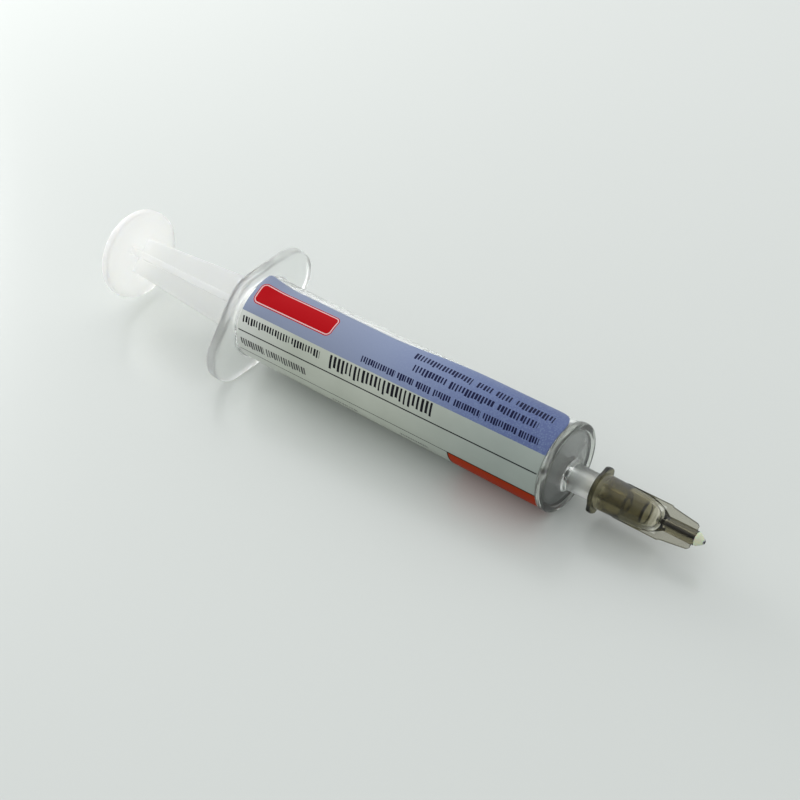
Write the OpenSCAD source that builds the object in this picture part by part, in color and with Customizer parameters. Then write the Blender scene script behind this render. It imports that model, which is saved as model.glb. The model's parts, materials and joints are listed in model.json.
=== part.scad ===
// Solder paste syringe: a clear 5 mL barrel with a wrap-round label, a milky cross-ribbed
// plunger with a rubber seal, the paste in front of it, and a smoke-brown dispensing hub whose
// steel needle is set in a bead of glue.
// Each module is drawn about the barrel's own axis: +X runs to the needle, x = 0 is the
// barrel's front face, and +Z is square to the long way of the finger flange. lay() then rolls
// and tips the whole object onto the table, where it rests on the barrel's front rim and on
// one straight edge of the flange.

/* [Barrel] */
// Outside radius of the clear barrel
barrel_r = 7.2; // [7.0:0.05:7.25]
// Radius of the bore that the seal runs in
bore_r = 6.25; // [6.0:0.05:6.3]
// Distance from the front face back to the finger flange
flange_at = 62.7; // [60:0.1:70]
// Thickness of the finger flange
flange_t = 2.1; // [1.6:0.1:2.6]
// Half of the flange's long way, to the tip of a wing
flange_tip = 13.5; // [13:0.1:15]
// Distance from the axis to each straight edge of the flange
flange_edge = 8.85; // [8.5:0.05:9.0]
// Slope of the straight edges against the long way, in degrees
flange_slope = 25; // [20:1:28]

/* [Nozzle] */
// How far the nozzle stands below the barrel's axis
nozzle_drop = 2.5; // [0:0.05:2.7]
// Length of the nozzle in front of the front face
nozzle_l = 10.4; // [9.6:0.1:11.0]
// Radius at the nozzle's tip, before a taper of 6 per cent on the diameter
nozzle_tip_r = 1.985; // [1.95:0.005:2.02]

/* [Plunger] */
// Paste left in the barrel, from the front wall to the seal
paste_l = 17.6; // [3:0.2:50]
// Length of the plunger rod from its head to the back of the thumb disc
rod_l = 74.7; // [70:0.1:80]
// Radius of the thumb disc
thumb_r = 8.4; // [7.5:0.1:8.4]

/* [Label] */
// Thickness of the label
label_t = 0.1; // [0.08:0.01:0.14]
// Angle that the label covers, in degrees
label_wrap = 300; // [180:5:330]

/* [Hub] */
// Turn of the hub about the nozzle, in degrees
hub_turn = 21; // [0:1:90]
// Radius over the two locking lugs
lug_r = 3.86; // [3.7:0.02:4.0]
// Outside radius of the steel needle
needle_r = 0.36; // [0.25:0.01:0.45]

/* [Hidden] */
$fn = 96;
eps = 0.01;

// front of the barrel: a low rim round a shallow recess
face_at = 0.5;
rim_r = barrel_r + 0.26;
rim_l = 1.25;
rim_edge = 0.5;
rim_back_edge = 0.2;
recess_r = 6.3;
recess_floor = face_at - 0.3;
front_wall = 1.2;
bore_front = recess_floor - front_wall;

// flange: the outline is four arcs joined by four straight edges that touch them
wing_d = (flange_tip - flange_edge) / (1 - sin(flange_slope));
wing_r = flange_tip - wing_d;
mid_d = 4.0;
mid_r = flange_edge - mid_d * cos(flange_slope);
flange_round = 0.5;
barrel_back = -(flange_at + flange_t);

// nozzle and the hub that slips over it
taper = 0.03;
function nozzle_r(x) = nozzle_tip_r + taper * (nozzle_l - x);
nozzle_root = 0.8;
nozzle_bore = 0.9;
slip = 0.03;
hub_back = 5.15;
lug_l = 0.65;
hub_skirt_r = 3.3;
hub_body_r = 2.88;
hub_neck_r = 2.66;
hub_neck = 12.7;
nose_r = 1.15;
nose_back = 17.1;
nose_front = 22.15;
cavity_at = 13.6;
cavity_l = 2.5;
fin_t = 0.55;
fin_back = 9.0;
fin_notch = 16.8;
socket_r = needle_r + 0.01;
needle_back = 15.6;
needle_front = 23.5;
glue_front = 23.35;

// seal, paste and plunger rod, from the front backwards
seal_front = bore_front - paste_l;
seal_l = 6.5;
seal_r = bore_r - 0.03;
head_gap = 0.02;
head_front = seal_front - 1.6;
head_r = 4.0;
stem_r = 2.4;
web_front = seal_front - seal_l - 0.35;
web_r = 5.9;
web_t = 1.2;
rod_turn = 17;
rib_t = 1.25;
rib_h = 5.25;
rib_end_h = 3.25;
thumb_t = 1.8;
rod_back = head_front - rod_l;
rib_back = rod_back + thumb_t;
rib_taper_at = rib_back + 30;

// label, its free edges at two angles from +Y, and its rounded corners
label_front = face_at - rim_l - 0.1;
label_back = -62.2;
label_start = 22;
label_corner = 4.5;

// rest: the rim's rounded edge and the flange's rounded edge both touch the table
tip_a = flange_at + flange_round + face_at - rim_edge;
tip_b = (flange_edge - flange_round) - (rim_r - rim_edge);
tip_c = flange_round - rim_edge;
tip = atan(tip_b / tip_a) + asin(tip_c / sqrt(tip_a * tip_a + tip_b * tip_b));
lift = (rim_r - rim_edge) * cos(tip) + (face_at - rim_edge) * sin(tip) + rim_edge;
// middle of the length from the thumb disc to the needle's point
needle_low = -nozzle_drop * cos(flange_slope) + needle_r;
end_front = needle_front * cos(tip) + needle_low * sin(tip);
end_back = (rod_back + 0.5) * cos(tip) - (thumb_r - 0.5) * sin(tip) - 0.5;
mid_x = (end_front + end_back) / 2;

module lay() {
    translate([-mid_x, 0, lift])
        rotate([0, tip, 0])
            rotate([flange_slope, 0, 0])
                children();
}

// revolves a profile drawn as [radius, x] about the axis, from the angle a0 measured from +Y
module turned(a0 = 0, wrap = 360) {
    rotate([a0 + 90, 0, 0])
        rotate([0, 90, 0])
            rotate_extrude(angle = wrap)
                children();
}

// stands a shape drawn in Y and Z upright across the axis, from x0 forwards
module across(x0, t) {
    translate([x0, 0, 0])
        rotate([90, 0, 90])
            linear_extrude(t)
                children();
}

// moves a piece drawn about the axis onto the nozzle's axis, with the hub's own turn
module on_nozzle() {
    translate([0, 0, -nozzle_drop])
        rotate([hub_turn, 0, 0])
            children();
}

module disc(x0, x1, r) {
    translate([x0, 0, 0])
        rotate([0, 90, 0])
            cylinder(h = x1 - x0, r = r);
}

module cone(x0, x1, r0, r1) {
    translate([x0, 0, 0])
        rotate([0, 90, 0])
            cylinder(h = x1 - x0, r1 = r0, r2 = r1);
}

// profile from radius r0 to r1 whose rear and front outer corners are rounded by e0 and e1
module soft_profile(r0, r1, x0, x1, e0, e1) {
    translate([r0, x0])
        square([r1 - e0 - r0, e0]);
    translate([r0, x0 + e0])
        square([r1 - r0, x1 - x0 - e0 - e1]);
    translate([r0, x1 - e1])
        square([r1 - e1 - r0, e1]);
    translate([r1 - e0, x0 + e0])
        circle(e0);
    translate([r1 - e1, x1 - e1])
        circle(e1);
}

// disc with both outer edges rounded by e
module soft_disc(x0, x1, r, e) {
    turned()
        soft_profile(0, r, x0, x1, e, e);
}

// one arc of the flange outline, about a centre c, from an angle a0 to an angle a1
function arc(c, r, a0, a1, n = 12) =
    [for (i = [0 : n]) let (a = a0 + (a1 - a0) * i / n) c + r * [cos(a), sin(a)]];

// flange outline in Y and Z, drawn in by an inset: two mid arcs, two wing tips and the
// straight edges that touch them
module flange_outline(inset) {
    s = flange_slope;
    polygon(concat(
        arc([wing_d, 0], wing_r - inset, s - 90, 90 - s),
        arc([0, mid_d], mid_r - inset, 90 - s, 90 + s, 6),
        arc([-wing_d, 0], wing_r - inset, 90 + s, 270 - s),
        arc([0, -mid_d], mid_r - inset, 270 - s, 270 + s, 6)));
}

// finger flange with its whole edge rounded, front and back, in steps of 30 degrees
module flange() {
    hull()
        for (a = [0, 30, 60, 90]) {
            depth = flange_round * (1 - sin(a));
            across(barrel_back + depth, flange_t - 2 * depth)
                flange_outline(flange_round * (1 - cos(a)));
        }
}

// tapered nozzle with a rounded root, below the barrel's axis
module nozzle() {
    root = nozzle_r(0) + nozzle_root;
    translate([0, 0, -nozzle_drop])
        turned()
            difference() {
                polygon([[0, recess_floor - 0.2], [root, recess_floor - 0.2],
                         [root, recess_floor], [nozzle_r(0), recess_floor + nozzle_root],
                         [nozzle_tip_r, nozzle_l - 0.2],
                         [nozzle_tip_r - 0.2, nozzle_l], [0, nozzle_l]]);
                translate([root, recess_floor + nozzle_root])
                    circle(nozzle_root);
            }
}

// bore with its lead-in, and the bead near the mouth that keeps the seal in
module bore() {
    difference() {
        disc(barrel_back - 1, bore_front, bore_r);
        turned()
            translate([bore_r + 0.25, barrel_back + 2])
                circle(0.4);
    }
    cone(barrel_back - 0.2, barrel_back + 0.8, bore_r + 0.5, bore_r);
}

module barrel() {
    color([0.84, 0.87, 0.85, 0.45])
        lay()
            difference() {
                union() {
                    disc(barrel_back + flange_t / 2, recess_floor - 0.1, barrel_r);
                    difference() {
                        turned()
                            soft_profile(0, rim_r, face_at - rim_l, face_at, rim_back_edge, rim_edge);
                        disc(recess_floor, face_at + 1, recess_r);
                    }
                    flange();
                    nozzle();
                }
                bore();
                translate([0, 0, -nozzle_drop])
                    disc(bore_front - 1, nozzle_l + 1, nozzle_bore);
            }
}

// what a square corner of the label loses when it is rounded: the corner is at the angle a and
// the place x, and points to growing angle where da is 1 and to growing x where dx is 1
module corner_cut(a, x, da, dx) {
    rotate([a, 0, 0])
        translate([x, 0, 0])
            rotate([90, 0, 0])
                translate([0, 0, -1.5 * barrel_r])
                    linear_extrude(barrel_r)
                        mirror([dx < 0 ? 1 : 0, 0])
                            mirror([0, da < 0 ? 1 : 0])
                                translate([-label_corner, -label_corner])
                                    difference() {
                                        square(label_corner + 1);
                                        circle(label_corner + 0.08);
                                    }
}

module label() {
    color([0.55, 0.6, 0.8])
        lay()
            difference() {
                turned(label_start, label_wrap)
                    translate([barrel_r, label_back])
                        square([label_t, label_front - label_back]);
                for (dx = [-1, 1]) {
                    x = dx > 0 ? label_front : label_back;
                    corner_cut(label_start, x, -1, dx);
                    corner_cut(label_start + label_wrap, x, 1, dx);
                }
            }
}

// one flat rib of the rod, seen from the side
module rib_outline() {
    polygon([[web_front, 2], [web_front - 1, rib_h], [rib_taper_at, rib_h],
             [rib_back - 0.5, rib_end_h], [rib_back - 0.5, -rib_end_h],
             [rib_taper_at, -rib_h], [web_front - 1, -rib_h], [web_front, -2]]);
}

module plunger_rod() {
    color([0.93, 0.95, 0.95])
        lay()
            rotate([rod_turn, 0, 0]) {
                for (a = [0, 90])
                    rotate([a, 0, 0])
                        translate([0, 0, -rib_t / 2])
                            linear_extrude(rib_t)
                                rib_outline();
                disc(web_front - web_t, web_front, web_r);
                disc(web_front - 20, web_front - 19, rib_h);
                disc(web_front - 0.2, head_front - 1, stem_r);
                soft_disc(head_front - 2, head_front, head_r, 0.6);
                soft_disc(rod_back, rib_back, thumb_r, 0.5);
            }
}

module plunger_seal() {
    color([0.16, 0.16, 0.17])
        lay()
            turned()
                difference() {
                    union() {
                        translate([0, seal_front - seal_l])
                            square([seal_r - 0.4, seal_l]);
                        for (x = [seal_front - 1.7, seal_front - seal_l]) {
                            translate([0, x + 0.4])
                                square([seal_r, 0.9]);
                            for (y = [0.4, 1.3])
                                translate([seal_r - 0.4, x + y])
                                    circle(0.4);
                        }
                    }
                    // socket for the rod's head and stem
                    translate([0, head_front - 2 - head_gap])
                        square([head_r + head_gap, 2 + 2 * head_gap]);
                    translate([0, seal_front - seal_l - 1])
                        square([stem_r + head_gap, seal_l]);
                }
}

module solder_paste() {
    color([0.55, 0.55, 0.54])
        lay()
            disc(seal_front + eps, bore_front - eps, bore_r - eps);
}

// thin fins that rise from the hub's body, step in at a notch and run down its nose
module fins() {
    outline = [[fin_back, 2.3], [fin_back, 2.84], [fin_notch, 2.86], [fin_notch + 0.3, 2.67],
               [nose_front - 0.8, 2.1], [nose_front - 0.4, 1.75], [nose_front - 0.4, 0.8],
               [hub_neck + 2, 0.8], [hub_neck, 2.3]];
    translate([0, 0, -fin_t / 2])
        linear_extrude(fin_t)
            for (m = [0, 1])
                mirror([0, m])
                    polygon(outline);
}

// tapered socket that slips over the nozzle, its domed end and the needle's channel
module hub_socket() {
    r = nozzle_r(cavity_at) + slip;
    turned() {
        polygon(concat(
            [[0, hub_back - 1], [nozzle_r(hub_back) + slip + 1.3, hub_back - 1],
             [nozzle_r(hub_back) + slip, hub_back + 0.3]],
            [for (a = [0 : 18 : 90]) [r * cos(a), cavity_at + cavity_l * sin(a)]]));
        square([socket_r, nose_front + 1]);
    }
}

// the two locking lugs: a disc cut to a wedge on each side, whose flanks run into the skirt ring
module lugs() {
    flank = 0.68 * hub_skirt_r;
    intersection() {
        soft_disc(hub_back, hub_back + lug_l, lug_r, 0.2);
        across(hub_back - 1, lug_l + 2)
            polygon([[-lug_r - 0.4, -0.9], [-flank, -flank], [flank, -flank], [lug_r + 0.4, -0.9],
                     [lug_r + 0.4, 0.9], [flank, flank], [-flank, flank], [-lug_r - 0.4, 0.9]]);
    }
}

// outside of the hub: skirt ring, tapered body, dome and nose
module hub_shell(dome) {
    turned() {
        soft_profile(0, hub_skirt_r, hub_back, hub_back + lug_l, 0.2, 0.2);
        polygon([[0, hub_back + 0.3], [hub_body_r, hub_back + 0.3], [hub_neck_r, hub_neck],
                 [0, hub_neck]]);
        intersection() {
            translate([hub_neck_r - dome, hub_neck])
                circle(dome);
            translate([0, hub_neck])
                square([hub_neck_r, nose_back - hub_neck]);
        }
        translate([0, nose_back])
            square([nose_r, nose_front - nose_back]);
    }
}

module needle_hub() {
    dome = ((hub_neck_r - nose_r) ^ 2 + (nose_back - hub_neck) ^ 2) / (2 * (hub_neck_r - nose_r));
    color([0.36, 0.34, 0.26])
        lay()
            on_nozzle()
                difference() {
                    union() {
                        hub_shell(dome);
                        lugs();
                        fins();
                    }
                    hub_socket();
                }
}

module needle_tube() {
    color([0.75, 0.76, 0.77])
        lay()
            on_nozzle()
                turned()
                    translate([needle_r - 0.155, needle_back])
                        square([0.155, needle_front - needle_back]);
}

module glue_bead() {
    color([0.88, 0.9, 0.68])
        lay()
            on_nozzle()
                turned()
                    polygon([[needle_r, nose_front], [nose_r - 0.04, nose_front],
                             [nose_r - 0.06, nose_front + 0.25], [0.93, nose_front + 0.6],
                             [0.7, glue_front - 0.2], [needle_r + 0.12, glue_front],
                             [needle_r, glue_front]]);
}

barrel();
label();
plunger_rod();
plunger_seal();
solder_paste();
needle_hub();
needle_tube();
glue_bead();
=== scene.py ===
"""Solder paste syringe: the looks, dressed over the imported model.

Every piece is drawn in millimetres in the syringe's own frame: x runs along the barrel with 0 at
its front face, and the angle about the axis is measured from +y towards +z. The placing matrix
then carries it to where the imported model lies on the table.
"""
import json
from math import acos, cos, degrees, hypot, pi, radians, sin, sqrt, tan

import bmesh
import bpy
from mathutils import Matrix, Vector


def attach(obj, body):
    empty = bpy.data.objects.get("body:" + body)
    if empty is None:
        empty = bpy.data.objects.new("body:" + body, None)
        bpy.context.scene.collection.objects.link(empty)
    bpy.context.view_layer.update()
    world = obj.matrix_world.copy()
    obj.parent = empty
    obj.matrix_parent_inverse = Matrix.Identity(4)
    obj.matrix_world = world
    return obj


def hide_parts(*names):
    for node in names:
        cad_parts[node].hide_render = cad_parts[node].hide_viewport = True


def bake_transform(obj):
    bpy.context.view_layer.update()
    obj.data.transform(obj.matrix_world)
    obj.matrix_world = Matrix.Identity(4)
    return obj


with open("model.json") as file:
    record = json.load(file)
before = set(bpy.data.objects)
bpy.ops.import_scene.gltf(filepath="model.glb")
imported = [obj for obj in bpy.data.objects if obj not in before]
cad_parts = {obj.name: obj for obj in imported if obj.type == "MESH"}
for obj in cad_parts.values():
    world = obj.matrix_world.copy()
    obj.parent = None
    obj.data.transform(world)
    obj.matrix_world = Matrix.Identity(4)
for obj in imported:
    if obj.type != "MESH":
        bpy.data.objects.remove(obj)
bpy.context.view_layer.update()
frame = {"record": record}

MM = 0.001

# Sizes in millimetres, in the syringe's frame.
BARREL_R = 7.2
FACE_AT = 0.5
RIM_R = 7.46
RIM_L = 1.25
RIM_MIDDLE = 0.28
RIM_EDGE = 0.5
RECESS_R = 6.3
RECESS_FLOOR = 0.2
BORE_R = 6.25
BORE_FRONT = -1.0
FLANGE_FRONT = -62.7
FLANGE_BACK = -64.8
FLANGE_TIP = 13.5
FLANGE_EDGE = 8.85
FLANGE_SLOPE = radians(25)
FLANGE_MID = 4.0
FLANGE_ROUND = 0.5
FLANGE_FILLET = 0.45
NOZZLE_DROP = 2.5
NOZZLE_TIP_R = 1.985
NOZZLE_L = 10.4
NOZZLE_BORE = 0.9
NOZZLE_ROOT = 0.8
TAPER = 0.03
ROLL = radians(25)
HUB_TURN = radians(21)
HUB_BACK = 5.15
LUG_L = 0.65
LUG_R = 3.86
LUG_HALF = radians(20)
SKIRT_R = 3.3
LUG_FLANK = 0.68 * SKIRT_R
BODY_R = 2.88
NECK_R = 2.66
NECK = 12.7
NOSE_R = 1.15
NOSE_BACK = 17.1
NOSE_FRONT = 22.15
DOME_R = ((NECK_R - NOSE_R) ** 2 + (NOSE_BACK - NECK) ** 2) / (2 * (NECK_R - NOSE_R))
CAVITY_AT = 13.6
CAVITY_L = 2.5
CAVITY_STEP = 0.16
SLIP = 0.03
FIN_T = 0.55
FIN_BACK = 9.0
FIN_NOTCH = 16.8
FIN_R = 2.86
FIN_STEP_R = 2.67
FIN_TIP = NOSE_FRONT - 0.8
FIN_TIP_R = 2.1
NEEDLE_R = 0.36
NEEDLE_BORE = 0.205
NEEDLE_BACK = 15.6
NEEDLE_FRONT = 23.5
GLUE_FRONT = 23.35
SEAL_FRONT = -18.6
SEAL_L = 6.5
SEAL_R = 6.22
HEAD_FRONT = -20.2
HEAD_R = 4.0
HEAD_L = 2.0
STEM_R = 2.4
WEB_FRONT = -25.45
WEB_R = 5.9
WEB_T = 1.2
RIB_T = 1.25
RIB_H = 5.25
RIB_END_H = 3.25
RIB_TAPER_AT = -63.1
RIB_BACK = -93.1
ROD_BACK = -94.9
THUMB_R = 8.4
RIB_TURN = radians(17)
MID_WEB_FRONT = WEB_FRONT - 19
MID_WEB_T = 1.0
MID_WEB_R = RIB_H - 0.03
LABEL_R = 7.2
LABEL_T = 0.1
LABEL_BACK = -62.2
LABEL_FRONT = -0.85
LABEL_END = 322.0
LABEL_START_REAR = 49.5
LABEL_START_TURN = 32.5
SLANT_BACK = -36
SLANT_L = 25
LABEL_CORNER = 4.5
LABEL_FRONT_CORNER = 6.5
LABEL_REAR_CORNER = 0.8
PEEL_ROUND = 5.0
PEEL_ALONG = 6.0
PEEL_LIFT = 0.9


def syringe_placing():
    """The matrix from the syringe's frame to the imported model, read from the record."""
    record = frame["record"]
    rim = next(m for m in record["mounts"] if m["name"] == "front_rim")
    axis = Vector(rim["axis"]).normalized()
    origin = Vector(rim["pos_m"]) + axis * RIM_MIDDLE * MM
    side = Vector((0, 1, 0))
    up = axis.cross(side)
    y = side * cos(ROLL) + up * sin(ROLL)
    z = axis.cross(y)
    return Matrix.Translation(origin) @ Matrix((axis, y, z)).transposed().to_4x4()


PLACING = syringe_placing()
TO_TABLE = PLACING @ Matrix.Scale(MM, 4)
ON_NOZZLE = Matrix.Translation((0, 0, -NOZZLE_DROP)) @ Matrix.Rotation(HUB_TURN, 4, "X")
ON_AXIS = Matrix.Identity(4)
ROD_TURN = Matrix.Rotation(RIB_TURN, 4, "X")


# Mesh making


def softened(corners, steps=6):
    """A closed outline of (x, r, radius) corners, with each corner rounded by its radius."""
    points = []
    count = len(corners)
    for i, (x, r, radius) in enumerate(corners):
        here = Vector((x, r))
        if radius == 0:
            points.append(here)
            continue
        back = (Vector(corners[i - 1][:2]) - here).normalized()
        ahead = (Vector(corners[(i + 1) % count][:2]) - here).normalized()
        half = acos(max(-1, min(1, back.dot(ahead)))) / 2
        reach = radius / tan(half)
        centre = here + (back + ahead).normalized() * (radius / sin(half))
        first = here + back * reach - centre
        last = here + ahead * reach - centre
        sweep = pi - 2 * half
        for k in range(steps + 1):
            t = k / steps
            spoke = first * (sin((1 - t) * sweep) / sin(sweep)) + last * (sin(t * sweep) / sin(sweep))
            points.append(centre + spoke)
    return points


def revolved(outline, placing=ON_AXIS, segments=128):
    """A closed solid turned about the x axis from an outline of (x, r) points."""
    bm = bmesh.new()
    rings = []
    for x, r in outline:
        if r < 1e-6:
            rings.append([bm.verts.new((x, 0, 0))])
            continue
        ring = []
        for k in range(segments):
            a = 2 * pi * k / segments
            ring.append(bm.verts.new((x, r * cos(a), r * sin(a))))
        rings.append(ring)
    for i, ring in enumerate(rings):
        other = rings[(i + 1) % len(rings)]
        if len(ring) == 1 and len(other) == 1:
            continue
        for k in range(segments):
            n = (k + 1) % segments
            corners = [ring[k % len(ring)], ring[n % len(ring)],
                       other[n % len(other)], other[k % len(other)]]
            bm.faces.new(list(dict.fromkeys(corners)))
    bmesh.ops.recalc_face_normals(bm, faces=bm.faces)
    bm.transform(placing)
    return bm


def plate(outline, low, high, placing=ON_AXIS):
    """A flat plate between low and high along z, from an outline of (x, y) points."""
    bm = bmesh.new()
    below = [bm.verts.new((x, y, low)) for x, y in outline]
    above = [bm.verts.new((x, y, high)) for x, y in outline]
    bm.faces.new(below[::-1])
    bm.faces.new(above)
    count = len(outline)
    for k in range(count):
        n = (k + 1) % count
        bm.faces.new((below[k], below[n], above[n], above[k]))
    bmesh.ops.recalc_face_normals(bm, faces=bm.faces)
    bm.transform(placing)
    return bm


def loose(name, bm):
    """A scene object made from a bmesh, for joining with others."""
    mesh = bpy.data.meshes.new(name)
    bm.to_mesh(mesh)
    bm.free()
    obj = bpy.data.objects.new(name, mesh)
    bpy.context.scene.collection.objects.link(obj)
    return obj


def applied(obj):
    """A plain mesh of the object with its modifiers applied; the object itself goes."""
    bpy.context.view_layer.update()
    graph = bpy.context.evaluated_depsgraph_get()
    mesh = bpy.data.meshes.new_from_object(obj.evaluated_get(graph))
    mesh.name = obj.name
    bpy.data.objects.remove(obj)
    return mesh


def combined(start, others, how, crossing=False):
    """The union or the difference of closed solids; crossing says that the start's parts cross."""
    for other in others:
        step = start.modifiers.new(how.lower(), "BOOLEAN")
        step.operation = how
        step.solver = "EXACT"
        step.use_self = crossing
        step.object = other
        name = start.name
        mesh = applied(start)
        bpy.data.objects.remove(other)
        start = bpy.data.objects.new(name, mesh)
        bpy.context.scene.collection.objects.link(start)
    return start


def bevelled(obj, width, segments=2, angle=35):
    """Rounds the sharp edges of a solid."""
    step = obj.modifiers.new("edge", "BEVEL")
    step.width = width
    step.segments = segments
    step.limit_method = "ANGLE"
    step.angle_limit = radians(angle)
    step.use_clamp_overlap = True
    name = obj.name
    mesh = applied(obj)
    obj = bpy.data.objects.new(name, mesh)
    bpy.context.scene.collection.objects.link(obj)
    return obj


def finished(obj, name, material, body, nodes, sharp=32):
    """Sets a piece in its place, smooth up to its sharp edges, and ties it to its body."""
    mesh = obj.data
    mesh.transform(TO_TABLE)
    bm = bmesh.new()
    bm.from_mesh(mesh)
    bmesh.ops.remove_doubles(bm, verts=bm.verts, dist=1e-7)
    bmesh.ops.recalc_face_normals(bm, faces=bm.faces)
    bm.to_mesh(mesh)
    bm.free()
    mesh.polygons.foreach_set("use_smooth", [True] * len(mesh.polygons))
    mesh.set_sharp_from_angle(angle=radians(sharp))
    obj.name = name
    mesh.name = name
    mesh.materials.clear()
    mesh.materials.append(material)
    if body:
        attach(obj, body)
    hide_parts(*nodes)
    return obj


# Copies about the axis, as Geometry Nodes


def copies_tree():
    """Geometry Nodes that repeat a shape about the x axis."""
    tree = bpy.data.node_groups.new("copies about the axis", "GeometryNodeTree")
    face = tree.interface
    face.new_socket("Geometry", in_out="INPUT", socket_type="NodeSocketGeometry")
    face.new_socket("Copies", in_out="INPUT", socket_type="NodeSocketInt")
    face.new_socket("First Angle", in_out="INPUT", socket_type="NodeSocketFloat")
    face.new_socket("Material", in_out="INPUT", socket_type="NodeSocketMaterial")
    face.new_socket("Geometry", in_out="OUTPUT", socket_type="NodeSocketGeometry")
    nodes, links = tree.nodes, tree.links
    source = nodes.new("NodeGroupInput")
    drain = nodes.new("NodeGroupOutput")
    points = nodes.new("GeometryNodeMeshLine")
    points.inputs["Offset"].default_value = (0, 0, 0)
    links.new(source.outputs["Copies"], points.inputs["Count"])
    index = nodes.new("GeometryNodeInputIndex")
    part = math_node(tree, "DIVIDE", index.outputs[0], source.outputs["Copies"])
    turn = math_node(tree, "MULTIPLY_ADD", part, 2 * pi, source.outputs["First Angle"])
    angles = nodes.new("ShaderNodeCombineXYZ")
    links.new(turn, angles.inputs["X"])
    setting = nodes.new("GeometryNodeInstanceOnPoints")
    links.new(points.outputs["Mesh"], setting.inputs["Points"])
    links.new(source.outputs["Geometry"], setting.inputs["Instance"])
    links.new(angles.outputs[0], setting.inputs["Rotation"])
    real = nodes.new("GeometryNodeRealizeInstances")
    links.new(setting.outputs[0], real.inputs[0])
    coat = nodes.new("GeometryNodeSetMaterial")
    links.new(real.outputs[0], coat.inputs["Geometry"])
    links.new(source.outputs["Material"], coat.inputs["Material"])
    links.new(coat.outputs[0], drain.inputs[0])
    return tree


def repeated(obj, tree, copies, first_angle, material):
    """The object's shape, repeated about the axis, as one plain mesh."""
    step = obj.modifiers.new("copies", "NODES")
    step.node_group = tree
    wanted = {"Copies": copies, "First Angle": first_angle, "Material": material}
    for item in tree.interface.items_tree:
        if item.in_out == "INPUT" and item.name in wanted:
            step[item.identifier] = wanted[item.name]
    name = obj.name
    mesh = applied(obj)
    obj = bpy.data.objects.new(name, mesh)
    bpy.context.scene.collection.objects.link(obj)
    return obj


# Material making


def feed(tree, socket, value):
    """Links a socket or sets a plain value."""
    if isinstance(value, bpy.types.NodeSocket):
        tree.links.new(value, socket)
    elif value is not None:
        socket.default_value = value


def math_node(tree, operation, a, b=None, c=None, clamp=False):
    node = tree.nodes.new("ShaderNodeMath")
    node.operation = operation
    node.use_clamp = clamp
    for socket, value in zip(node.inputs, (a, b, c)):
        feed(tree, socket, value)
    return node.outputs[0]


def mix_colour(tree, mask, under, over, blend="MIX"):
    node = tree.nodes.new("ShaderNodeMix")
    node.data_type = "RGBA"
    node.blend_type = blend
    feed(tree, node.inputs["Factor"], mask)
    feed(tree, node.inputs["A"], under)
    feed(tree, node.inputs["B"], over)
    return node.outputs["Result"]


def map_range(tree, value, low, high, to_low=0.0, to_high=1.0, smooth=False):
    node = tree.nodes.new("ShaderNodeMapRange")
    node.interpolation_type = "SMOOTHSTEP" if smooth else "LINEAR"
    feed(tree, node.inputs["Value"], value)
    feed(tree, node.inputs["From Min"], low)
    feed(tree, node.inputs["From Max"], high)
    feed(tree, node.inputs["To Min"], to_low)
    feed(tree, node.inputs["To Max"], to_high)
    return node.outputs[0]


def noise(tree, place, scale, detail=3.0, roughness=0.5):
    node = tree.nodes.new("ShaderNodeTexNoise")
    feed(tree, node.inputs["Vector"], place)
    feed(tree, node.inputs["Scale"], scale)
    feed(tree, node.inputs["Detail"], detail)
    feed(tree, node.inputs["Roughness"], roughness)
    return node.outputs[0]


def new_group(name, inputs, outputs):
    """A shader node group; its inputs are (name, kind, value) and its outputs (name, kind)."""
    tree = bpy.data.node_groups.new(name, "ShaderNodeTree")
    for title, kind, value in inputs:
        socket = tree.interface.new_socket(title, in_out="INPUT", socket_type="NodeSocket" + kind)
        if value is not None:
            socket.default_value = value
    for title, kind in outputs:
        tree.interface.new_socket(title, in_out="OUTPUT", socket_type="NodeSocket" + kind)
    return tree, tree.nodes.new("NodeGroupInput").outputs, tree.nodes.new("NodeGroupOutput").inputs


def use_group(tree, group, **values):
    """Places a group in a material; underscores in the keywords stand for spaces."""
    node = tree.nodes.new("ShaderNodeGroup")
    node.node_tree = group
    for title, value in values.items():
        feed(tree, node.inputs[title.replace("_", " ")], value)
    return node.outputs


def object_place(tree):
    return tree.nodes.new("ShaderNodeTexCoord").outputs["Object"]


def piece_place(tree, placing):
    """The surface point in millimetres, in the frame that a piece was drawn in, as x, y and z."""
    shift, turn, scale = (TO_TABLE @ placing).inverted().decompose()
    node = tree.nodes.new("ShaderNodeMapping")
    node.inputs["Location"].default_value = shift
    node.inputs["Rotation"].default_value = turn.to_euler()
    node.inputs["Scale"].default_value = scale
    feed(tree, node.inputs["Vector"], object_place(tree))
    parts = tree.nodes.new("ShaderNodeSeparateXYZ")
    feed(tree, parts.inputs[0], node.outputs[0])
    return parts.outputs


def off_axis(tree, parts):
    """The distance from the piece's axis."""
    squares = math_node(tree, "MULTIPLY", parts[2], parts[2])
    return math_node(tree, "SQRT", math_node(tree, "MULTIPLY_ADD", parts[1], parts[1], squares))


def new_material(name, **values):
    """A material with one Principled shader, whose plain values are set on its own sockets."""
    material = bpy.data.materials.new(name)
    material.use_nodes = True
    tree = material.node_tree
    shader = tree.nodes["Principled BSDF"]
    for title, value in values.items():
        shader.inputs[title.replace("_", " ")].default_value = value
    return material, tree, shader


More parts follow.
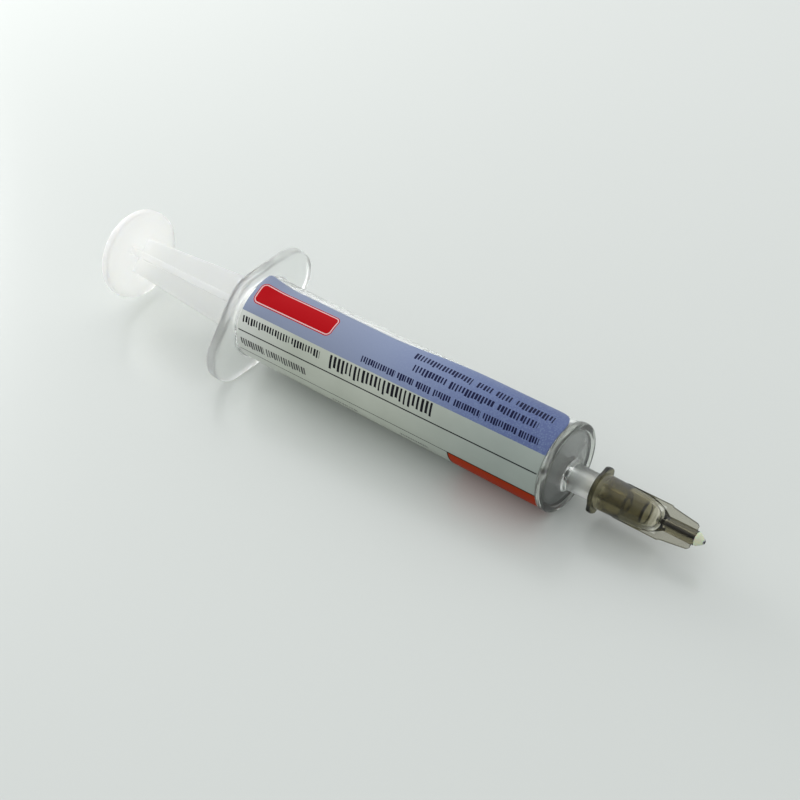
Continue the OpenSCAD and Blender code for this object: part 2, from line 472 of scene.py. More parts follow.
def moulded_group():
    """The fine unevenness of a moulded plastic surface: flow marks, handling marks and grain."""
    tree, got, out = new_group(
        "moulded surface",
        [("Place", "Vector", None), ("Roughness", "Float", 0.1), ("Unevenness", "Float", 0.05),
         ("Marks", "Float", 0.3), ("Mark Size", "Float", 300.0)],
        [("Roughness", "Float"), ("Height", "Float"), ("Cloud", "Float")])
    cloud = noise(tree, got["Place"], 180.0, 2.0)
    grain = noise(tree, got["Place"], 2500.0, 2.0)
    marks = noise(tree, got["Place"], got["Mark Size"], 6.0, 0.7)
    worn = map_range(tree, marks, 0.55, 0.8)
    spread = math_node(tree, "MULTIPLY", worn, got["Marks"])
    spread = math_node(tree, "MULTIPLY_ADD", cloud, got["Unevenness"], spread)
    rough = math_node(tree, "ADD", got["Roughness"], spread, clamp=True)
    feed(tree, out["Roughness"], rough)
    feed(tree, out["Height"], math_node(tree, "MULTIPLY_ADD", grain, 0.15, cloud))
    feed(tree, out["Cloud"], cloud)
    return tree


def bumped(tree, shader, height, strength, distance):
    node = tree.nodes.new("ShaderNodeBump")
    node.inputs["Strength"].default_value = strength
    node.inputs["Distance"].default_value = distance
    feed(tree, node.inputs["Height"], height)
    tree.links.new(node.outputs[0], shader.inputs["Normal"])


def pale_shadow(tree, shader, held_back):
    """Holds back only this share of the light in the piece's shadow, as clear plastic does."""
    shadow = tree.nodes.new("ShaderNodeLightPath").outputs["Is Shadow Ray"]
    feed(tree, shader.inputs["Alpha"], map_range(tree, shadow, 0, 1, 1.0, held_back))


def clear_plastic(moulded):
    """Natural polypropylene of the barrel: clear, with a little milk in it."""
    material, tree, shader = new_material(
        "clear moulded barrel", Metallic=0.0, IOR=1.42, Transmission_Weight=0.95,
        Subsurface_Weight=0.8, Subsurface_Scale=0.003)
    shader.inputs["Subsurface Radius"].default_value = (1.0, 1.0, 0.95)
    parts = piece_place(tree, ON_AXIS)
    x = parts[0]
    bare = map_range(tree, x, HUB_BACK + 0.5, HUB_BACK + 2.0, 0.42, 0.0, True)
    matt = math_node(tree, "ADD", math_node(tree, "MULTIPLY", bare, map_range(tree, x, 0.25, 1.4)),
                     map_range(tree, x, FLANGE_FRONT, FLANGE_FRONT + 0.5, 0.32, 0.0, True))
    skin = use_group(tree, moulded, Place=object_place(tree), Roughness=0.03, Unevenness=0.04,
                     Marks=0.06, Mark_Size=420.0)
    colour = mix_colour(tree, skin["Cloud"], (0.96, 0.98, 0.96, 1), (0.985, 0.995, 0.985, 1))
    # painted shade: the front rim's colour is tinted darker
    rim = math_node(tree, "MULTIPLY", map_range(tree, off_axis(tree, parts), RECESS_R - 0.1, RIM_R - 0.5),
                    map_range(tree, x, FACE_AT - RIM_L - 0.3, FACE_AT - RIM_L))
    colour = mix_colour(tree, rim, colour, (0.62, 0.65, 0.6, 1))
    # painted reflection: the nozzle's end is tinted brown towards the hub, standing in for the hub's brown
    # seen in it
    colour = mix_colour(tree, map_range(tree, x, 2.0, HUB_BACK), colour, (0.85, 0.83, 0.76, 1))
    feed(tree, shader.inputs["Base Color"], colour)
    feed(tree, shader.inputs["Roughness"], math_node(tree, "ADD", skin["Roughness"], matt))
    bumped(tree, shader, skin["Height"], 0.08, 0.0002)
    pale_shadow(tree, shader, map_range(tree, x, -6.0, -1.0, 0.1, 0.5))
    return material


def milky_plastic(moulded):
    """Natural milky polypropylene of the plunger."""
    material, tree, shader = new_material(
        "milky plunger plastic", Metallic=0.0, IOR=1.49, Transmission_Weight=0.45,
        Subsurface_Weight=0.95, Subsurface_Scale=0.012)
    shader.inputs["Subsurface Radius"].default_value = (1.0, 0.95, 0.85)
    skin = use_group(tree, moulded, Place=object_place(tree), Roughness=0.36, Unevenness=0.1,
                     Marks=0.1, Mark_Size=300.0)
    colour = mix_colour(tree, skin["Cloud"], (0.97, 0.975, 0.94, 1), (0.99, 0.99, 0.975, 1))
    feed(tree, shader.inputs["Base Color"], colour)
    feed(tree, shader.inputs["Roughness"], skin["Roughness"])
    bumped(tree, shader, skin["Height"], 0.2, 0.0002)
    pale_shadow(tree, shader, 0.25)
    return material


def smoke_plastic(moulded):
    """Smoke-brown clear polypropylene of the hub."""
    material, tree, shader = new_material(
        "smoke hub plastic", Metallic=0.0, IOR=1.49, Transmission_Weight=1.0)
    skin = use_group(tree, moulded, Place=object_place(tree), Roughness=0.01, Unevenness=0.02,
                     Marks=0.04, Mark_Size=600.0)
    colour = mix_colour(tree, skin["Cloud"], (0.172, 0.157, 0.077, 1), (0.2, 0.182, 0.093, 1))
    # thin fins let more light through than the body, and the solid nose lets less through
    parts = piece_place(tree, ON_NOZZLE)
    r = off_axis(tree, parts)
    fallen = math_node(tree, "SUBTRACT", parts[0], NECK)
    depth = math_node(tree, "SUBTRACT", DOME_R ** 2, math_node(tree, "MULTIPLY", fallen, fallen))
    dome = math_node(tree, "ADD", math_node(tree, "SQRT", math_node(tree, "MAXIMUM", depth, 0.0)),
                     NECK_R - DOME_R)
    beyond = math_node(tree, "SUBTRACT", r, math_node(tree, "MAXIMUM", dome, NOSE_R))
    fin = math_node(tree, "MULTIPLY", map_range(tree, beyond, 0.03, 0.12),
                    map_range(tree, parts[0], NECK + 0.5, NECK + 1.5))
    # the thin wall over the hollow dome is paler
    thin = map_range(tree, parts[0], CAVITY_AT + 0.25, CAVITY_AT + 0.55, 0.0, 1.0, True)
    colour = mix_colour(tree, thin, colour, (0.46, 0.44, 0.34, 1))
    nose = map_range(tree, parts[0], NOSE_BACK - 0.6, NOSE_BACK + 0.3, 0.0, 1.0, True)
    colour = mix_colour(tree, nose, colour, (0.15, 0.135, 0.075, 1))
    # a fin is clear through its faces; painted shade darkens it along its edge
    outline = map_range(tree, parts[0], FIN_NOTCH + 0.3, FIN_TIP, FIN_STEP_R, FIN_TIP_R)
    before = math_node(tree, "LESS_THAN", parts[0], FIN_NOTCH + 0.2)
    outline = math_node(tree, "MULTIPLY_ADD", before, 0.18, outline)
    painted_edge_shade = math_node(tree, "GREATER_THAN", r, math_node(tree, "SUBTRACT", outline, 0.15))
    pane = mix_colour(tree, painted_edge_shade, (0.58, 0.56, 0.48, 1), (0.22, 0.21, 0.15, 1))
    colour = mix_colour(tree, fin, colour, pane)
    # the socket's own wall: painted shade makes it darker past the nozzle, a painted dark ring marks its
    # end, then a lighter dome
    inner = math_node(tree, "MULTIPLY", math_node(tree, "LESS_THAN", r, NOZZLE_TIP_R + 0.25),
                      math_node(tree, "LESS_THAN", parts[0], CAVITY_AT + CAVITY_L))
    domed = math_node(tree, "GREATER_THAN", parts[0], CAVITY_AT + 0.01)
    # painted shade: the wall past the nozzle's end is tinted darker
    empty = map_range(tree, parts[0], NOZZLE_L - 0.3, NOZZLE_L + 0.3)
    wall = mix_colour(tree, empty, (0.66, 0.62, 0.47, 1), (0.58, 0.54, 0.4, 1))
    wall = mix_colour(tree, domed, wall, (0.85, 0.83, 0.75, 1))
    colour = mix_colour(tree, inner, colour, wall)
    # painted shade: a near-black ring where the cavity steps in
    edge = math_node(tree, "COMPARE", parts[0], CAVITY_AT + 0.05, 0.2)
    edge = math_node(tree, "MULTIPLY", edge, inner)
    colour = mix_colour(tree, edge, colour, (0.01, 0.009, 0.005, 1))
    feed(tree, shader.inputs["Base Color"], colour)
    feed(tree, shader.inputs["Roughness"], skin["Roughness"])
    bumped(tree, shader, skin["Height"], 0.05, 0.0002)
    pale_shadow(tree, shader, 0.65)
    return material


def rubber(moulded):
    material, tree, shader = new_material("seal rubber", Metallic=0.0, IOR=1.5)
    skin = use_group(tree, moulded, Place=object_place(tree), Roughness=0.5, Unevenness=0.2,
                     Marks=0.2, Mark_Size=500.0)
    colour = mix_colour(tree, skin["Cloud"], (0.02, 0.02, 0.022, 1), (0.05, 0.05, 0.052, 1))
    feed(tree, shader.inputs["Base Color"], colour)
    feed(tree, shader.inputs["Roughness"], skin["Roughness"])
    bumped(tree, shader, skin["Height"], 0.3, 0.0002)
    return material


def grey_paste():
    """Solder paste: fine metal balls in a dull flux."""
    material, tree, shader = new_material("solder paste", Metallic=0.35, IOR=1.5, Roughness=0.55)
    place = object_place(tree)
    balls = tree.nodes.new("ShaderNodeTexVoronoi")
    balls.inputs["Scale"].default_value = 9000.0
    feed(tree, balls.inputs["Vector"], place)
    cloud = noise(tree, place, 260.0, 3.0)
    shade = mix_colour(tree, cloud, (0.43, 0.455, 0.43, 1), (0.55, 0.57, 0.545, 1))
    # darker where the label keeps the light out, paler towards the barrel's bare strip
    parts = piece_place(tree, ON_AXIS)
    across = math_node(tree, "MULTIPLY_ADD", parts[1], 0.94, math_node(tree, "MULTIPLY", parts[2], 0.34))
    lit = map_range(tree, across, -0.35 * BORE_R, 0.75 * BORE_R, 0.0, 1.0, True)
    shade = mix_colour(tree, lit, (0.17, 0.185, 0.175, 1), shade)
    pits = map_range(tree, balls.outputs["Distance"], 0.0, 0.7)
    shade = mix_colour(tree, pits, shade, (0.7, 0.7, 0.72, 1), "MULTIPLY")
    feed(tree, shader.inputs["Base Color"], shade)
    bumped(tree, shader, math_node(tree, "MULTIPLY_ADD", cloud, 3.0, balls.outputs["Distance"]),
           0.3, 0.00005)
    return material


def needle_steel():
    """Drawn stainless tube, with the fine lines of drawing along it."""
    material, tree, shader = new_material("needle steel", Metallic=1.0)
    place = object_place(tree)
    mapping = tree.nodes.new("ShaderNodeMapping")
    mapping.inputs["Scale"].default_value = (200, 20000, 20000)
    feed(tree, mapping.inputs["Vector"], place)
    lines = noise(tree, mapping.outputs[0], 1.0, 2.0)
    colour = mix_colour(tree, lines, (0.35, 0.355, 0.36, 1), (0.45, 0.455, 0.46, 1))
    r = off_axis(tree, piece_place(tree, ON_NOZZLE))
    # painted shade: the bore's inside is coloured near black
    painted_bore_shade = math_node(tree, "LESS_THAN", r, NEEDLE_BORE + 0.08)
    colour = mix_colour(tree, painted_bore_shade, colour, (0.01, 0.01, 0.01, 1))
    feed(tree, shader.inputs["Base Color"], colour)
    feed(tree, shader.inputs["Roughness"], map_range(tree, lines, 0.2, 0.8, 0.18, 0.32))
    return material


def pale_glue(moulded):
    """Set drop of pale yellow glue."""
    material, tree, shader = new_material(
        "pale set glue", Metallic=0.0, IOR=1.5, Transmission_Weight=0.3,
        Subsurface_Weight=0.4, Subsurface_Scale=0.001)
    skin = use_group(tree, moulded, Place=object_place(tree), Roughness=0.12, Unevenness=0.1,
                     Marks=0.1, Mark_Size=900.0)
    colour = mix_colour(tree, skin["Cloud"], (0.82, 0.83, 0.6, 1), (0.92, 0.93, 0.74, 1))
    feed(tree, shader.inputs["Base Color"], colour)
    feed(tree, shader.inputs["Roughness"], skin["Roughness"])
    bumped(tree, shader, skin["Height"], 0.2, 0.0001)
    return material


# Pieces


def flange_outline(inset):
    """The flange's outline in y and z: two mid arcs and two wing tips joined by straight edges."""
    s = FLANGE_SLOPE
    wing_d = (FLANGE_TIP - FLANGE_EDGE) / (1 - sin(s))
    wing_r = FLANGE_TIP - wing_d
    mid_r = FLANGE_EDGE - FLANGE_MID * cos(s)
    points = []
    for cy, cz, r, a0, a1, n in (
            (wing_d, 0, wing_r, s - pi / 2, pi / 2 - s, 40),
            (0, FLANGE_MID, mid_r, pi / 2 - s, pi / 2 + s, 14),
            (-wing_d, 0, wing_r, pi / 2 + s, 3 * pi / 2 - s, 40),
            (0, -FLANGE_MID, mid_r, 3 * pi / 2 - s, 3 * pi / 2 + s, 14)):
        for k in range(n + 1):
            a = a0 + (a1 - a0) * k / n
            points.append((cy + (r - inset) * cos(a), cz + (r - inset) * sin(a)))
    return points


def flange_solid():
    """The finger flange with its whole edge rounded."""
    bm = bmesh.new()
    levels = []
    steps = 6
    for side in (0, 1):
        for k in range(steps + 1):
            a = pi / 2 * (steps - k if side == 0 else k) / steps
            depth = FLANGE_ROUND * (1 - sin(a))
            x = FLANGE_BACK + depth if side == 0 else FLANGE_FRONT - depth
            levels.append((x, FLANGE_ROUND * (1 - cos(a))))
    rings = []
    for x, inset in levels:
        rings.append([bm.verts.new((x, y, z)) for y, z in flange_outline(inset)])
    for ring, other in zip(rings, rings[1:]):
        for k in range(len(ring)):
            n = (k + 1) % len(ring)
            bm.faces.new((ring[k], ring[n], other[n], other[k]))
    bm.faces.new(rings[0])
    bm.faces.new(rings[-1])
    bmesh.ops.remove_doubles(bm, verts=bm.verts, dist=1e-5)
    bmesh.ops.recalc_face_normals(bm, faces=bm.faces)
    return bm


def nozzle_r(x):
    return NOZZLE_TIP_R + TAPER * (NOZZLE_L - x)


def make_barrel(material):
    """Tube, front wall, rim, flange and nozzle, moulded as one, then bored."""
    back = FLANGE_BACK
    outside = softened([
        (back + 0.3, 0, 0), (back + 0.3, BARREL_R + FLANGE_FILLET, 0),
        (FLANGE_FRONT, BARREL_R + FLANGE_FILLET, 0), (FLANGE_FRONT + FLANGE_FILLET, BARREL_R, 0.5),
        (FACE_AT - RIM_L - 0.02, BARREL_R, 0.08), (FACE_AT - RIM_L + 0.02, RIM_R, 0.2),
        (FACE_AT, RIM_R, RIM_EDGE), (FACE_AT, RECESS_R + 0.08, 0.12), (RECESS_FLOOR, RECESS_R, 0.12),
        (RECESS_FLOOR, 0, 0)])
    body = loose("barrel", revolved(outside, segments=192))
    root = nozzle_r(0) + NOZZLE_ROOT
    fillet = []
    for k in range(9):
        a = pi / 2 * k / 8
        x = RECESS_FLOOR + NOZZLE_ROOT * (1 - cos(a))
        fillet.append((x, root - NOZZLE_ROOT * sin(a)))
    tip = softened([(0, 5, 0), (NOZZLE_L, NOZZLE_TIP_R, 0.25), (NOZZLE_L, 0, 0)])
    start = RECESS_FLOOR - 0.2
    outline = [(start, 0), (start, root)] + fillet + [tuple(p) for p in tip[1:]]
    nozzle = loose("nozzle", revolved(outline, ON_NOZZLE, 96))
    flange = loose("flange", flange_solid())
    body = combined(body, [flange, nozzle], "UNION")
    bore = softened([
        (back - 1, 0, 0), (back - 1, BORE_R + 0.6, 0), (back, BORE_R + 0.45, 0.3),
        (back + 0.9, BORE_R, 0.3), (BORE_FRONT, BORE_R, 0.5), (BORE_FRONT, 0, 0)])
    bore = loose("bore", revolved(bore, segments=192))
    channel = [(BORE_FRONT - 0.5, 0), (BORE_FRONT - 0.5, NOZZLE_BORE), (NOZZLE_L + 1, NOZZLE_BORE),
               (NOZZLE_L + 1, 0)]
    channel = loose("channel", revolved(channel, ON_NOZZLE, 64))
    body = combined(body, [bore, channel], "DIFFERENCE")
    return finished(body, "clear_barrel", material, "barrel", ["barrel"], 28)


def make_seal(material):
    front, back = SEAL_FRONT, SEAL_FRONT - SEAL_L
    outline = softened([
        (front, 0, 0), (front, SEAL_R, 0.45), (front - 1.7, SEAL_R, 0.4), (front - 1.9, SEAL_R - 0.4, 0.2),
        (back + 1.9, SEAL_R - 0.4, 0.2), (back + 1.7, SEAL_R, 0.4), (back, SEAL_R, 0.4),
        (back, STEM_R + 0.02, 0.3), (HEAD_FRONT - HEAD_L, STEM_R + 0.02, 0),
        (HEAD_FRONT - HEAD_L - 0.02, HEAD_R + 0.02, 0.3), (HEAD_FRONT + 0.02, HEAD_R + 0.02, 0.3),
        (HEAD_FRONT + 0.02, 0, 0)])
    seal = loose("seal", revolved(outline))
    return finished(seal, "rubber_seal", material, "plunger", ["plunger_seal"])


def make_rod(material, copies):
    """The cross-ribbed rod: ribs, webs, stem, head and thumb disc, moulded as one."""
    half = RIB_T / 2
    rib = [(WEB_FRONT - 0.5, -0.3), (WEB_FRONT - 0.5, 2), (WEB_FRONT - 1.1, RIB_H),
           (RIB_TAPER_AT, RIB_H), (RIB_BACK - 0.5, RIB_END_H), (RIB_BACK - 0.5, -0.3)]
    rib = loose("rib", plate(rib, -half, half))
    rib = bevelled(rib, 0.14, 2, 60)
    ribs = repeated(rib, copies, 4, RIB_TURN, material)
    head_back = HEAD_FRONT - HEAD_L
    front = softened([
        (WEB_FRONT - WEB_T, 0, 0), (WEB_FRONT - WEB_T, WEB_R, 0.2), (WEB_FRONT, WEB_R, 0.2),
        (WEB_FRONT, STEM_R, 0.3), (head_back, STEM_R, 0), (head_back, HEAD_R, 0.6),
        (HEAD_FRONT, HEAD_R, 0.6), (HEAD_FRONT, 0, 0)])
    mid_back = MID_WEB_FRONT - MID_WEB_T
    web = softened([(mid_back, 0, 0), (mid_back, MID_WEB_R, 0.2), (MID_WEB_FRONT, MID_WEB_R, 0.2),
                    (MID_WEB_FRONT, 0, 0)])
    thumb = softened([(ROD_BACK, 0, 0), (ROD_BACK, THUMB_R, 0.5), (RIB_BACK, THUMB_R, 0.5),
                      (RIB_BACK, 0, 0)])
    parts = [loose("turned", revolved(outline, ROD_TURN)) for outline in (front, web, thumb)]
    rod = combined(ribs, parts, "UNION", crossing=True)
    rod.name = "rod"
    return finished(rod, "ribbed_plunger_rod", material, "plunger", ["plunger_rod"])


def make_paste(material):
    """The paste between the front wall and the seal, with points at its two ends only."""
    outline = [(SEAL_FRONT + 0.01, 0), (SEAL_FRONT + 0.01, BORE_R - 0.01),
               (BORE_FRONT - 0.01, BORE_R - 0.01), (BORE_FRONT - 0.01, 0)]
    slug = loose("slug", revolved(outline, segments=160))
    slug = finished(slug, "solder_paste_slug", material, None, ["solder_paste"])
    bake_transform(slug)
    return slug


def make_hub(material, copies):
    """The hub: skirt with two lugs, tapered body, dome, nose and two fins, moulded as one."""
    outline = softened([(HUB_BACK, 0, 0), (HUB_BACK, SKIRT_R, 0.2), (HUB_BACK + LUG_L, SKIRT_R, 0.2),
                        (HUB_BACK + LUG_L, BODY_R, 0.15), (NECK, NECK_R, 0)])
    for k in range(1, 15):
        x = NECK + (NOSE_BACK - NECK) * sin(pi / 2 * k / 14)
        outline.append((x, NECK_R - DOME_R + sqrt(DOME_R ** 2 - (x - NECK) ** 2)))
    outline += [tuple(p) for p in softened([(NOSE_BACK, NOSE_R, 0), (NOSE_FRONT, NOSE_R, 0.12),
                                            (NOSE_FRONT, 0, 0)])[1:]]
    body = loose("hub", revolved(outline, ON_NOZZLE))
    lug = [(-LUG_FLANK, LUG_FLANK)]
    for k in range(-10, 11):
        a = LUG_HALF * k / 10
        lug.append((LUG_R * sin(a), LUG_R * cos(a)))
    lug.append((LUG_FLANK, LUG_FLANK))
    lug = plate(lug, HUB_BACK, HUB_BACK + LUG_L, Matrix.Rotation(pi / 2, 4, "Y"))
    lug = bevelled(loose("lug", lug), 0.2, 3, 60)
    lugs = repeated(lug, copies, 2, 0.0, material)
    fin = [(FIN_BACK, 2.3), (FIN_BACK, FIN_R - 0.02), (FIN_NOTCH, FIN_R), (FIN_NOTCH + 0.3, FIN_STEP_R),
           (FIN_TIP, FIN_TIP_R), (FIN_TIP + 0.4, 1.75), (FIN_TIP + 0.4, 0.8), (NECK + 2, 0.8),
           (NECK, 2.3)]
    fin = bevelled(loose("fin", plate(fin, -FIN_T / 2, FIN_T / 2)), 0.1, 2, 60)
    fins = repeated(fin, copies, 2, 0.0, material)
    for part in (lugs, fins):
        part.data.transform(ON_NOZZLE)
    body = combined(body, [lugs, fins], "UNION")
    deep = nozzle_r(CAVITY_AT) + SLIP
    channel = NEEDLE_R + 0.01
    socket = softened([
        (HUB_BACK - 1, 0, 0), (HUB_BACK - 1, nozzle_r(HUB_BACK) + SLIP + 1.3, 0),
        (HUB_BACK + 0.3, nozzle_r(HUB_BACK) + SLIP, 0.2), (CAVITY_AT, deep, 0)])
    narrow = deep - CAVITY_STEP
    for k in range(13):
        a = acos(channel / narrow) * k / 12
        socket.append((CAVITY_AT + CAVITY_L * sin(a), narrow * cos(a)))
    socket += [(NOSE_FRONT + 1, channel), (NOSE_FRONT + 1, 0)]
    socket = loose("socket", revolved(socket, ON_NOZZLE, 96))
    body = combined(body, [socket], "DIFFERENCE")
    return finished(body, "smoke_hub", material, "hub", ["needle_hub"], 30)


def make_needle(material):
    outline = softened([(NEEDLE_BACK, NEEDLE_BORE, 0.03), (NEEDLE_BACK, NEEDLE_R, 0.03),
                        (NEEDLE_FRONT, NEEDLE_R, 0.05), (NEEDLE_FRONT, NEEDLE_BORE, 0.05)], 3)
    tube = loose("tube", revolved(outline, ON_NOZZLE, 48))
    return finished(tube, "steel_needle", material, "hub", ["needle_tube"])


def make_glue(material):
    outline = softened([
        (NOSE_FRONT + 0.005, NEEDLE_R, 0), (NOSE_FRONT + 0.005, NOSE_R - 0.04, 0.05),
        (NOSE_FRONT + 0.42, NOSE_R - 0.13, 0.25), (GLUE_FRONT - 0.25, 0.62, 0.2),
        (GLUE_FRONT, NEEDLE_R + 0.1, 0.08), (GLUE_FRONT, NEEDLE_R, 0)])
    bead = loose("bead", revolved(outline, ON_NOZZLE, 64))
    return finished(bead, "glue_drop", material, "hub", ["glue_bead"])


def label_start(x):
    """The angle of the label's first side edge, which leaves a bare strip along the rear."""
    t = max(0.0, min(1.0, (x - SLANT_BACK) / SLANT_L))
    return LABEL_START_REAR - LABEL_START_TURN * t * t * (3 - 2 * t)


def corner_inset(from_end, radius):
    """How far a rounded corner draws a side edge in, by the distance from the end, in degrees."""
    if from_end >= radius:
        return 0.0
    return degrees((radius - sqrt(max(0.0, radius ** 2 - (radius - from_end) ** 2))) / LABEL_R)


def label_lift(angle, x):
    """How far the film stands off the barrel at its peeled rear corner."""
    from_side = (angle - label_start(x)) * pi / 180 * LABEL_R
    from_rear = x - LABEL_BACK
    corner = max(0.0, 1 - hypot(from_side / PEEL_ROUND, from_rear / PEEL_ALONG))
    return PEEL_LIFT * corner ** 1.5


def make_label(material):
    """The printed film, wound round the barrel, with its own map for the print."""
    reach = LABEL_FRONT_CORNER
    ends = [reach * (1 - cos(pi / 2 * k / 12)) for k in range(12)]
    span = LABEL_FRONT - LABEL_BACK
    middle = [reach + (span - 2 * reach) * k / 80 for k in range(81)]
    stations = ends + middle + [span - e for e in reversed(ends)]
    columns = 200
    bm = bmesh.new()
    layer = bm.loops.layers.uv.new("print")
    grid = []
    for s in stations:
        x = LABEL_BACK + s
        first = label_start(x) + corner_inset(s, LABEL_REAR_CORNER)
        first += corner_inset(span - s, reach)
        last = LABEL_END - corner_inset(min(s, span - s), LABEL_CORNER)
        row = []
        for k in range(columns + 1):
            angle = first + (last - first) * k / columns
            r = LABEL_R + LABEL_T / 2 + label_lift(angle, x)
            a = radians(angle)
            row.append((bm.verts.new((x, r * cos(a), r * sin(a))), angle, x))
        grid.append(row)
    for low, high in zip(grid, grid[1:]):
        for k in range(columns):
            quad = (low[k], low[k + 1], high[k + 1], high[k])
            if (quad[0][0].co - quad[1][0].co).length < 1e-6:
                quad = quad[1:]
            face = bm.faces.new([corner[0] for corner in quad])
            for loop, corner in zip(face.loops, quad):
                loop[layer].uv = ((corner[2] + 70) / 80, corner[1] / 360)
    obj = loose("label", bm)
    solid = obj.modifiers.new("film", "SOLIDIFY")
    solid.thickness = LABEL_T * 0.96
    solid.offset = 0
    mesh = applied(obj)
    obj = bpy.data.objects.new("label", mesh)
    bpy.context.scene.collection.objects.link(obj)
    return finished(obj, "printed_label", material, "barrel", ["label"])


def box_group():
    """A rounded box on the label, skewed with the print: a mask of its fill and of its border."""
    tree, got, out = new_group(
        "printed box",
        [("Along", "Float", 0.0), ("Around", "Float", 0.0), ("Start", "Float", 0.0),
         ("End", "Float", 10.0), ("Middle", "Float", 0.0), ("Height", "Float", 1.0),
         ("Corner", "Float", 0.1), ("Slant", "Float", 0.0)],
        [("Fill", "Float"), ("Distance", "Float")])
    shifted = math_node(tree, "SUBTRACT", got["Around"], got["Middle"])
    along = math_node(tree, "MULTIPLY_ADD", shifted, got["Slant"], got["Along"])
    centre = math_node(tree, "MULTIPLY", math_node(tree, "ADD", got["Start"], got["End"]), 0.5)
    half_x = math_node(tree, "MULTIPLY", math_node(tree, "SUBTRACT", got["End"], got["Start"]), 0.5)
    half_y = math_node(tree, "MULTIPLY", got["Height"], 0.5)
    off_x = math_node(tree, "ABSOLUTE", math_node(tree, "SUBTRACT", along, centre))
    off_y = math_node(tree, "ABSOLUTE", shifted)
    over_x = math_node(tree, "SUBTRACT", off_x, math_node(tree, "SUBTRACT", half_x, got["Corner"]))
    over_y = math_node(tree, "SUBTRACT", off_y, math_node(tree, "SUBTRACT", half_y, got["Corner"]))
    out_x = math_node(tree, "MAXIMUM", over_x, 0.0)
    out_y = math_node(tree, "MAXIMUM", over_y, 0.0)
    squares = math_node(tree, "ADD", math_node(tree, "MULTIPLY", out_x, out_x),
                        math_node(tree, "MULTIPLY", out_y, out_y))
    outer = math_node(tree, "SQRT", squares)
    inner = math_node(tree, "MINIMUM", math_node(tree, "MAXIMUM", over_x, over_y), 0.0)
    distance = math_node(tree, "SUBTRACT", math_node(tree, "ADD", outer, inner), got["Corner"])
    feed(tree, out["Distance"], distance)
    feed(tree, out["Fill"], math_node(tree, "LESS_THAN", distance, 0.0))
    return tree


def bars_group(box):
    """A row of plain upright bars of uneven width and height."""
    tree, got, out = new_group(
        "printed bars",
        [("Along", "Float", 0.0), ("Around", "Float", 0.0), ("Start", "Float", 0.0),
         ("End", "Float", 10.0), ("Middle", "Float", 0.0), ("Height", "Float", 1.0),
         ("Pitch", "Float", 1.0), ("Ink", "Float", 0.6), ("Slant", "Float", 0.0),
         ("Short", "Float", 0.25)],
        [("Fill", "Float")])
    shape = use_group(tree, box, Along=got["Along"], Around=got["Around"], Start=got["Start"],
                      End=got["End"], Middle=got["Middle"], Height=got["Height"], Corner=0.08,
                      Slant=got["Slant"])
    shifted = math_node(tree, "SUBTRACT", got["Around"], got["Middle"])
    along = math_node(tree, "MULTIPLY_ADD", shifted, got["Slant"], got["Along"])
    from_start = math_node(tree, "SUBTRACT", along, got["Start"])
    steps = math_node(tree, "DIVIDE", from_start, got["Pitch"])
    part = math_node(tree, "FRACT", steps)
    whole = tree.nodes.new("ShaderNodeTexWhiteNoise")
    whole.noise_dimensions = "2D"
    spot = tree.nodes.new("ShaderNodeCombineXYZ")
    feed(tree, spot.inputs["X"], math_node(tree, "FLOOR", steps))
    feed(tree, spot.inputs["Y"], got["Start"])
    feed(tree, whole.inputs["Vector"], spot.outputs[0])
    width = math_node(tree, "MULTIPLY_ADD", whole.outputs["Value"], 0.3, got["Ink"])
    bar = math_node(tree, "LESS_THAN", part, width)
    parts = tree.nodes.new("ShaderNodeSeparateColor")
    feed(tree, parts.inputs[0], whole.outputs["Color"])
    tall = math_node(tree, "MULTIPLY_ADD", parts.outputs[1], got["Short"],
                     math_node(tree, "SUBTRACT", 0.5, got["Short"]))
    bar = math_node(tree, "MULTIPLY", bar, math_node(
        tree, "LESS_THAN", shifted, math_node(tree, "MULTIPLY", tall, got["Height"])))
    feed(tree, out["Fill"], math_node(tree, "MULTIPLY", bar, shape["Fill"]))
    return tree


def grain_group():
    """The dots of a coarse print and the tooth of the film."""
    tree, got, out = new_group(
        "print grain", [("Along", "Float", 0.0), ("Around", "Float", 0.0), ("Dots", "Float", 4.0)],
        [("Dots", "Float"), ("Cloud", "Float"), ("Tooth", "Float")])
    spot = tree.nodes.new("ShaderNodeCombineXYZ")
    feed(tree, spot.inputs["X"], got["Along"])
    feed(tree, spot.inputs["Y"], got["Around"])
    dots = tree.nodes.new("ShaderNodeTexVoronoi")
    feed(tree, dots.inputs["Vector"], spot.outputs[0])
    feed(tree, dots.inputs["Scale"], got["Dots"])
    feed(tree, out["Dots"], map_range(tree, dots.outputs["Distance"], 0.1, 0.6))
    feed(tree, out["Cloud"], noise(tree, spot.outputs[0], 0.22, 3.0))
    feed(tree, out["Tooth"], noise(tree, spot.outputs[0], 14.0, 2.0))
    return tree


# The print, in millimetres along the barrel and degrees round it at the front face. All rows
# climb by PRINT_CLIMB degrees for each millimetre towards the rear.
PRINT_CLIMB = -0.13
ARC = pi / 180 * (LABEL_R + LABEL_T)
BAR_SLANT = -0.2

